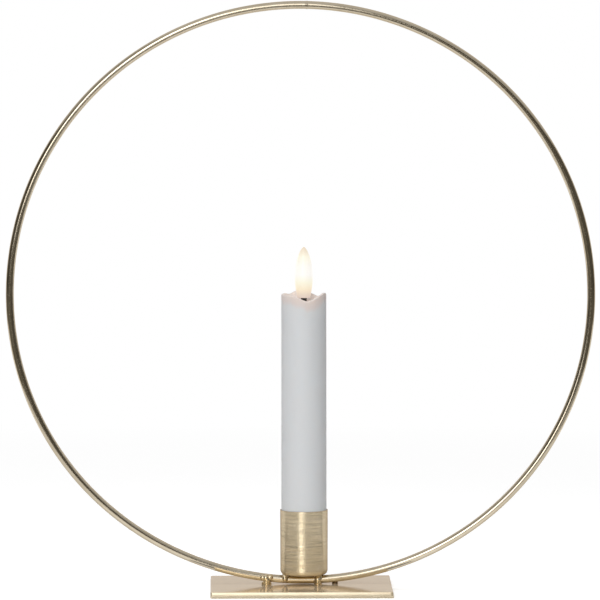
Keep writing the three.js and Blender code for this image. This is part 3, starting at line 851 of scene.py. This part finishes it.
def studio_cards():
    """Each card's azimuths, then its elevations or its distances on the table, then its strength."""
    card("softbox", (-20.5, -7.5), (3, 34), 4.2)
    card("softbox_left", (-27, -20.5), (3, 34), 1.9)
    card("softbox_right", (-7.5, 2.8), (3, 34), 1.9)
    card("softbox_tail", (-34, -27), (0, 34), 0.7)
    card("softbox_corner", (2.8, 5.5), (12, 34), 1.5)
    card("softbox_lower", (-27, 2.8), (0, 3), 1.0)
    card("softbox_upper", (-34, 5.5), (34, 58), 0.75)
    card("flag_right", (5.5, 90), (0, 27), 0.1, WARM_DARK)
    card("flag_corner", (2.8, 5.5), (0, 12), 0.1, WARM_DARK)
    card("flag_right_upper", (5.5, 104), (27, 58), 0.46)
    card("flag_left", (-96, -34), (0, 30), 0.09, WARM_DARK)
    card("flag_left_upper", (-112, -34), (30, 58), 0.34)
    card("side_right", (90, 104), (-30, 27), 0.0)
    card("side_left", (-112, -96), (-30, 30), 0.0)
    card("flag_low", (-96, 90), (-14, 0), 0.06, WARM_DARK)
    card("ceiling", (-180, 180), (58, 89), 0.62)
    card("backdrop", (104, 248), (-14, 58), 0.75, BACKDROP)
    # A dimmer band of table next to the plate: painted shade that stands in for the floor's contact shadow
    # in reflections
    table_card("table_contact_shade", (-80, 80), (0.03, 0.062), 0.3)
    table_card("table_beside", (80, 280), (0.03, 0.15), 0.82)
    table_card("table_near", (-80, 80), (0.062, 0.15), 1.05)
    table_card("table_middle", (-180, 180), (0.15, 0.26), 0.82)
    table_card("table_left", (-96, -5), (0.26, 0.37), 0.7)
    table_card("table_left_far", (-96, -5), (0.37, 2.4), 0.15, WARM_DARK)
    table_card("table_right", (-5, 90), (0.26, 0.45), 0.42)
    table_card("table_right_far", (8, 90), (0.45, 2.4), 0.12, WARM_DARK)
    table_card("table_front", (-5, 8), (0.45, 0.75), 0.12, WARM_DARK)
    table_card("table_front_dark", (-5, 0.8), (0.75, 1.15), 0.12, WARM_DARK)
    table_card("table_front_bright", (0.8, 8), (0.75, 1.15), 1.3)
    table_card("table_front_far", (-5, 8), (1.15, 2.4), 0.12, WARM_DARK)


def lamp(name, azimuth, elevation, distance, size, energy):
    data = bpy.data.lights.new(name, "AREA")
    data.size = size
    data.energy = energy
    light = bpy.data.objects.new(name, data)
    back = direction(azimuth, elevation)
    light.location = Vector((0, 0, STUDIO_HEIGHT)) + back * distance
    light.rotation_euler = back.to_track_quat("Z", "Y").to_euler()
    light.visible_glossy = False
    bpy.context.scene.collection.objects.link(light)


def seen_directly(tree):
    """1 for rays from the camera and for those in reflections and through glass, else 0."""
    rays = add(tree, "ShaderNodeLightPath").outputs
    camera_or_gloss = add(
        tree, "ShaderNodeMath", {0: rays["Is Camera Ray"], 1: rays["Is Glossy Ray"]}, operation="MAXIMUM"
    ).outputs["Value"]
    return add(
        tree, "ShaderNodeMath", {0: camera_or_gloss, 1: rays["Is Transmission Ray"]}, operation="MAXIMUM"
    ).outputs["Value"]


def world():
    """White behind the object, and an even soft light on it."""
    studio = bpy.data.worlds.new("studio")
    bpy.context.scene.world = studio
    studio.use_nodes = True
    tree = studio.node_tree
    strength = spread(tree, seen_directly(tree), AMBIENT, 1.0, 0.0, 1.0)
    tree.links.new(strength, tree.nodes["Background"].inputs["Strength"])
    tree.nodes["Background"].inputs["Color"].default_value = (1, 1, 1, 1)


def floor_finish():
    """Pale floor that shows shadows and runs into the white background."""
    material, tree, shader = new_material("floor", Roughness=0.9, Specular_IOR_Level=0.0)
    tone = speckle(tree, place(tree), scale=0.02, detail=2.0)
    join(tree, shader, Base_Color=ramp(tree, tone, (0.0, (0.88, 0.88, 0.88)), (1.0, (0.9, 0.9, 0.9))))
    coordinates = add(tree, "ShaderNodeTexCoord").outputs["Object"]
    reach = add(tree, "ShaderNodeVectorMath", {0: coordinates}, operation="LENGTH").outputs["Value"]
    fade = spread(tree, reach, 0.0, 1.0, FLOOR_FADE, FLOOR_RADIUS - FLOOR_WHITE_RIM)
    directly = seen_directly(tree)
    join(tree, shader, Emission_Strength=spread(tree, directly, 0.0, FLOOR_LIFT, 0.0, 1.0))
    shader.inputs["Emission Color"].default_value = (1, 1, 1, 1)
    share = add(tree, "ShaderNodeMath", {0: fade, 1: directly}, operation="MULTIPLY")
    white = add(tree, "ShaderNodeEmission", {"Color": (1, 1, 1, 1), "Strength": 1.0})
    mix = add(tree, "ShaderNodeMixShader", {"Fac": share.outputs["Value"]})
    tree.links.new(shader.outputs["BSDF"], mix.inputs[1])
    tree.links.new(white.outputs["Emission"], mix.inputs[2])
    tree.links.new(mix.outputs["Shader"], tree.nodes["Material Output"].inputs["Surface"])
    return material


def floor():
    rim = [direction(360 * side / FLOOR_SIDES, 0) * FLOOR_RADIUS for side in range(FLOOR_SIDES)]
    mesh = bpy.data.meshes.new("floor")
    mesh.from_pydata(rim, [], [tuple(range(FLOOR_SIDES))[::-1]])
    sheet = bpy.data.objects.new("floor", mesh)
    sheet.location.z = -FLOOR_DROP
    bpy.context.scene.collection.objects.link(sheet)
    sheet.data.materials.append(floor_finish())


def camera():
    data = bpy.data.cameras.new("camera")
    data.lens = FOCAL_PIXELS / FRAME_PIXELS * data.sensor_width
    back = direction(VIEW_AZIMUTH, VIEW_ELEVATION)
    roll = Quaternion((0, 0, 1), math.radians(VIEW_ROLL))
    view = bpy.data.objects.new("camera", data)
    view.location = (Vector(AIM_POINT) + back * VIEW_DISTANCE) * MM
    view.rotation_euler = (back.to_track_quat("Z", "Y") @ roll).to_euler()
    bpy.context.scene.collection.objects.link(view)
    bpy.context.scene.camera = view


camera()
bpy.context.scene.view_settings.view_transform = "Standard"
world()
floor()
studio_cards()
lamp("key", azimuth=-18, elevation=22, distance=1.8, size=0.9, energy=14)
lamp("overhead", azimuth=-10, elevation=80, distance=1.6, size=1.4, energy=12)

wire_gold = wire_finish()
ring(wire_gold)
ring_seam(wire_gold)
plate(plate_finish())
cup(cup_finish())
weld_gold = weld_finish("gold_weld", SATIN_DEEP, SATIN_PALE)
# Finish for the bead behind the wire, darkened with painted shade
shaded_weld_gold = weld_finish("painted_shade_weld", WELD_SHADE_DEEP, WELD_SHADE_PALE)
for bead_name, bead_blobs in WELDS.items():
    weld(bead_name, bead_blobs, shaded_weld_gold if bead_name == SHADED_WELD else weld_gold)

wax(wax_finish())
flame()

black = moulded(
    "black_plastic", dark=(0.016, 0.015, 0.014), pale=(0.03, 0.028, 0.026), smoothest=0.45, roughest=0.62
)
white = moulded(
    "white_plastic", dark=(0.78, 0.77, 0.73), pale=(0.84, 0.83, 0.8), smoothest=0.38, roughest=0.5
)
finish_nodes(black, "wick_stem", "timer_chip", "series_resistor", "switch_knob")
finish_nodes(white, "core_tube", "top_plug", "battery_cap")
finish_nodes(lamp_finish(), "led_lamp")
finish_nodes(board_finish(), "driver_board", "cap_insert")
finish_nodes(
    contact_finish(), "led_lead_plus", "led_lead_minus", "plus_contact", "minus_strip", "spring_contact",
    "ring_contact", "battery_spring", "switch_body", "switch_pin_spring", "switch_pin_ring",
)
finish_nodes(cell_finish(), "battery_lower", "battery_upper")
